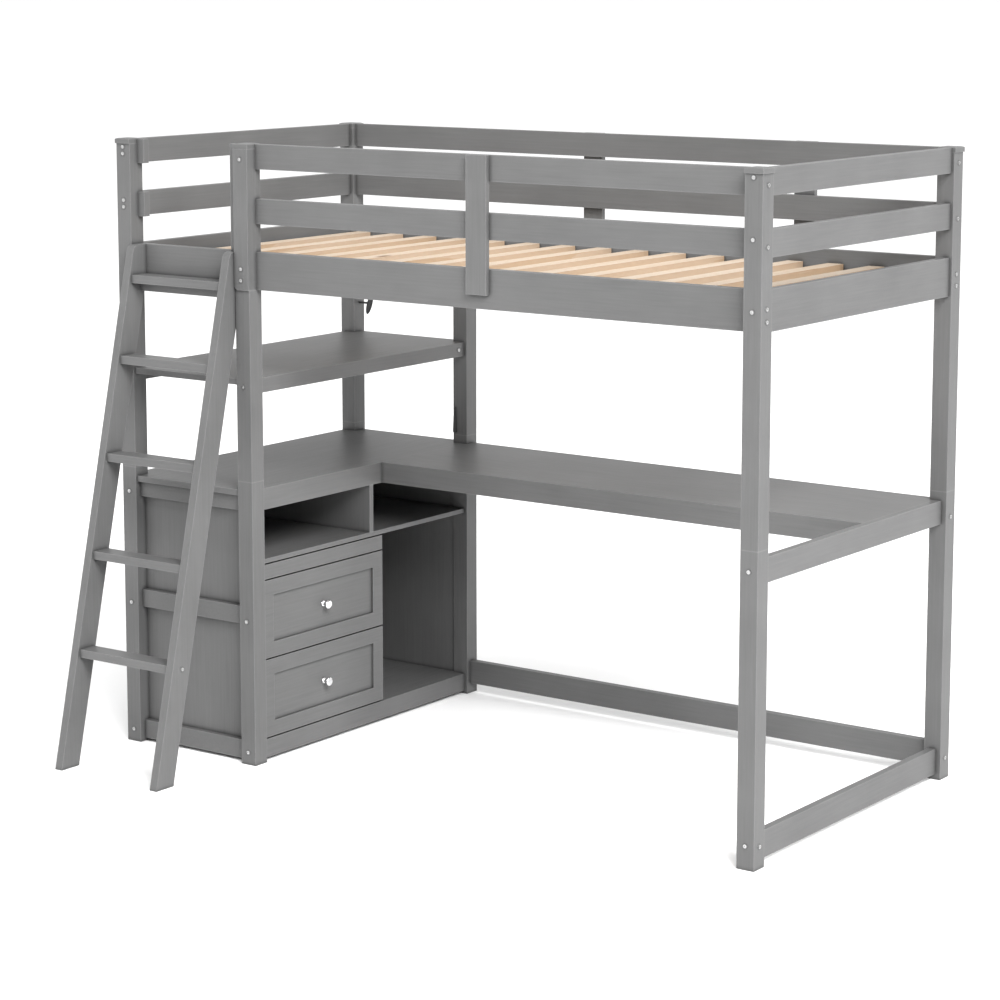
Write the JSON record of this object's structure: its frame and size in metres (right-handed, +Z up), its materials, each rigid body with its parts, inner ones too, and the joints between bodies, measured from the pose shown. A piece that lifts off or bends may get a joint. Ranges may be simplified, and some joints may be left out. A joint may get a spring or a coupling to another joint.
{
  "type": "loft bed",
  "caption": "Grey painted wooden loft bed over an L-shaped desk, with a shelf, a drawer cabinet and a leaning ladder.",
  "frame": {"origin": "middle of the footprint, on the floor the bed stands on", "axes": "X along the bed from the cabinet end to the far end, Y from the ladder side to the wall side, Z up"},
  "size_m": [2.016, 1.338, 1.662],
  "materials": {
    "grey_paint": "satin",
    "bare_pine": "matte",
    "polished_knob": "polished",
    "black_plastic": "matte",
    "zinc_bolt": "brushed"
  },
  "bodies": {
    "root": {"back_uprights": "grey_paint", "bed_rail_back": "grey_paint", "bed_rail_entry": "grey_paint", "bed_rail_front": "grey_paint", "bed_rail_left": "grey_paint", "bed_rail_right": "grey_paint", "bed_slats": "bare_pine", "cabinet_apron": "grey_paint", "cabinet_floor": "grey_paint", "cabinet_panel_back": "grey_paint", "cabinet_panel_front": "grey_paint", "cabinet_panel_left": "grey_paint", "cabinet_partitions": "grey_paint", "cabinet_side_rails": "grey_paint", "cable_clips": "black_plastic", "cubby_floor": "grey_paint", "desk_end_rail": "grey_paint", "desk_front_rail": "grey_paint", "desk_top_left": "grey_paint", "desk_top_long": "grey_paint", "drawer_rail": "grey_paint", "drawer_runners": "grey_paint", "entry_battens": "grey_paint", "entry_post": "grey_paint", "floor_end_rail": "grey_paint", "frame_bolts": "zinc_bolt", "front_upright": "grey_paint", "guard_rails_back": "grey_paint", "guard_rails_front": "grey_paint", "guard_rails_left": "grey_paint", "guard_rails_right": "grey_paint", "ladder_rungs": "grey_paint", "ladder_stile_left": "grey_paint", "ladder_stile_right": "grey_paint", "leg_back_left": "grey_paint", "leg_back_middle": "grey_paint", "leg_back_right": "grey_paint", "leg_front_left": "grey_paint", "leg_front_middle": "grey_paint", "leg_front_right": "grey_paint", "lower_back_rails": "grey_paint", "plinth_rail": "grey_paint", "post_back_left": "grey_paint", "post_back_middle": "grey_paint", "post_back_right": "grey_paint", "post_caps": "grey_paint", "post_front_left": "grey_paint", "post_front_middle": "grey_paint", "post_front_right": "grey_paint", "shelf_board": "grey_paint", "shelf_fascia": "grey_paint", "shelf_rails": "grey_paint", "slat_ledges": "grey_paint"},
    "upper_drawer": {"upper_drawer_box": "grey_paint", "upper_drawer_front": "grey_paint", "upper_drawer_knob": "polished_knob"},
    "lower_drawer": {"lower_drawer_box": "grey_paint", "lower_drawer_front": "grey_paint", "lower_drawer_knob": "polished_knob"}
  },
  "joints": [
    {"name": "upper_slide", "type": "slide", "parent": "root", "child": "upper_drawer", "axis": [1, 0, 0], "range_m": [0, 0.3]},
    {"name": "lower_slide", "type": "slide", "parent": "root", "child": "lower_drawer", "axis": [1, 0, 0], "range_m": [0, 0.3]}
  ]
}
